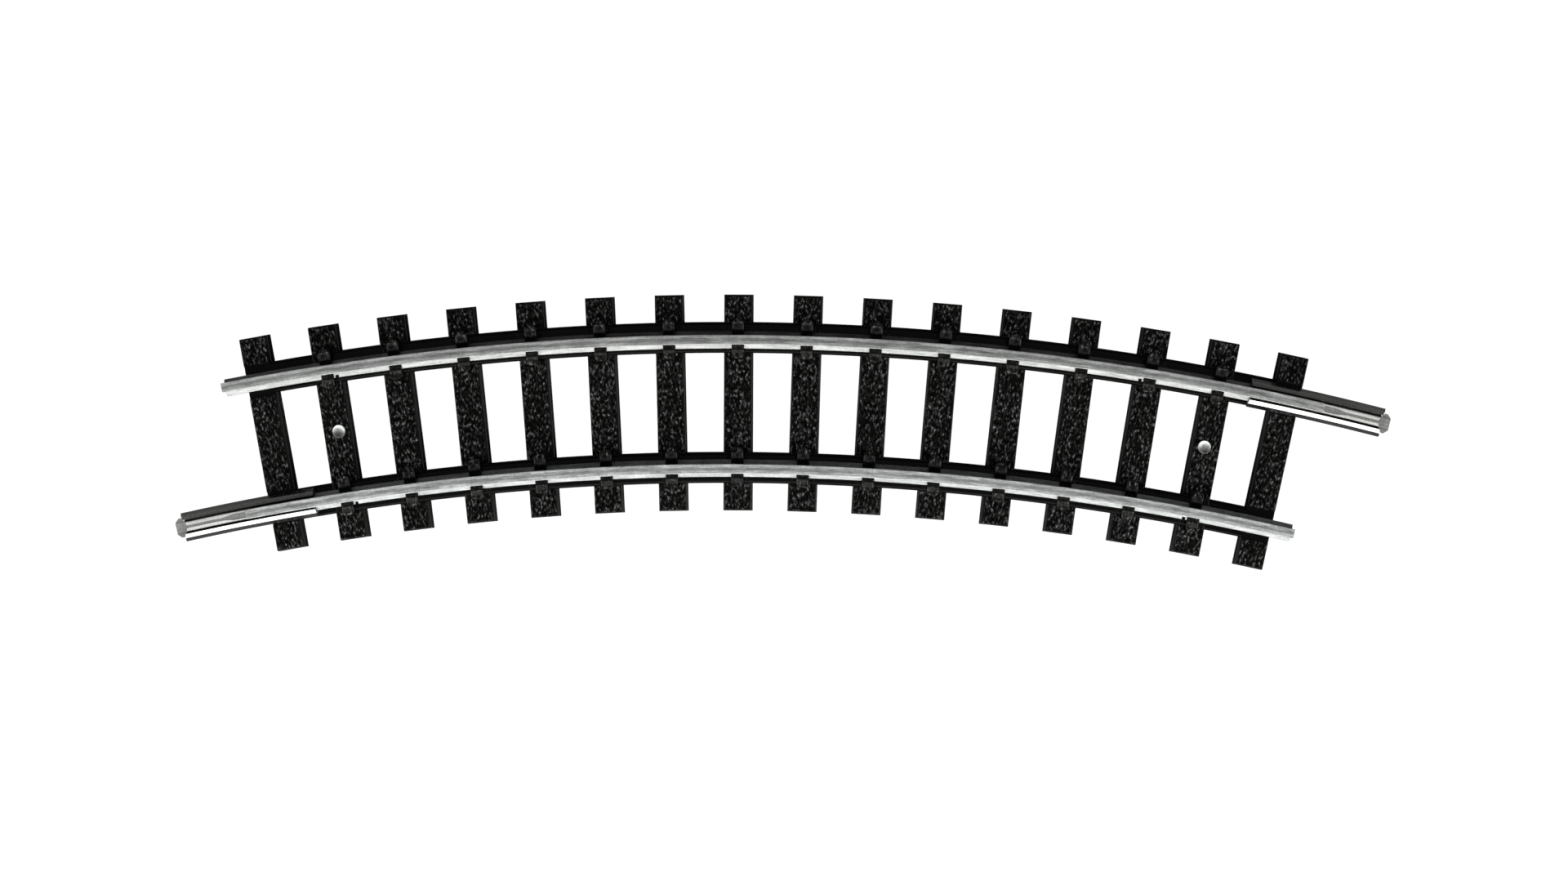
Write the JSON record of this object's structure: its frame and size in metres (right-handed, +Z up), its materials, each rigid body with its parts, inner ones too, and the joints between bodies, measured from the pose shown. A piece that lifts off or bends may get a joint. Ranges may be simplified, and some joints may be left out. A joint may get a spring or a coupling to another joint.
{
  "type": "model track section",
  "caption": "Curved model railway track section: moulded sleeper bed, two steel rails and folded sheet joiners at opposite ends.",
  "frame": {"origin": "middle of the arc on the track's centre line, in the plane the sleepers stand on; the arc's centre is 194.6 mm away along -Y", "axes": "+X along the track to the right at the middle of the arc, +Y to the outside of the curve, +Z up"},
  "size_m": [0.092, 0.0203, 0.0039],
  "materials": {
    "sleeper_plastic": "moulded with a wood grain, satin black",
    "rail_metal": "drawn rail, lightly brushed head",
    "joiner_sheet": "bright folded sheet",
    "pin_metal": "bright cupped head"
  },
  "bodies": {
    "track": {"sleeper_bed": "sleeper_plastic", "outer_rail": "rail_metal", "inner_rail": "rail_metal"},
    "outer_joiner": {"outer_rail_joiner": "joiner_sheet"},
    "inner_joiner": {"inner_rail_joiner": "joiner_sheet"},
    "left_pin": {"left_track_pin": "pin_metal"},
    "right_pin": {"right_track_pin": "pin_metal"}
  },
  "joints": [
    {"name": "outer_joiner_slide", "type": "hinge", "parent": "track", "child": "outer_joiner", "pos_m": [0, -0.1946, 0], "axis": [0, 0, -1], "range_deg": [-0.3, 1.75]},
    {"name": "inner_joiner_slide", "type": "hinge", "parent": "track", "child": "inner_joiner", "pos_m": [0, -0.1946, 0], "axis": [0, 0, 1], "range_deg": [-0.3, 1.75]},
    {"name": "left_pin_pull", "type": "slide", "parent": "track", "child": "left_pin", "axis": [0, 0, 1], "range_m": [0, 0.0022]},
    {"name": "right_pin_pull", "type": "slide", "parent": "track", "child": "right_pin", "axis": [0, 0, 1], "range_m": [0, 0.0022]}
  ]
}
